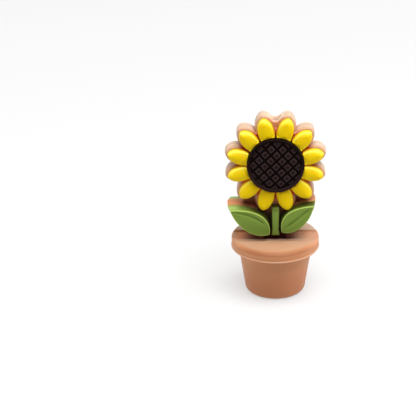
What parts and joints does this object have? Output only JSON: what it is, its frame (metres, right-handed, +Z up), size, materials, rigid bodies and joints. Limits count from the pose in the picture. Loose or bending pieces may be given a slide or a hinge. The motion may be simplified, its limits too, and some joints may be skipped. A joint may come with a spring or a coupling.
{
  "type": "potted sunflower focal bead",
  "caption": "Two-sided silicone focal bead shaped as a sunflower in a flower pot, with a threading hole from top to bottom.",
  "frame": {"origin": "on the floor plane under the middle of the bead's bounding box, at the pot's underside", "axes": "+Z up along the threading hole, -Y out of the front face, +X to the viewer's right"},
  "size_m": [0.0156, 0.0138, 0.03],
  "materials": {
    "terracotta silicone": "matte",
    "yellow silicone": "satin",
    "dark brown silicone": "matte",
    "green silicone": "satin"
  },
  "bodies": {
    "root": {"body": "terracotta silicone", "petals_front": "yellow silicone", "petals_back": "yellow silicone", "disc_front": "dark brown silicone", "disc_back": "dark brown silicone", "leaf_left_front": "green silicone", "leaf_left_back": "green silicone", "leaf_right_front": "green silicone", "leaf_right_back": "green silicone", "stem_front": "green silicone", "stem_back": "green silicone"}
  },
  "joints": []
}
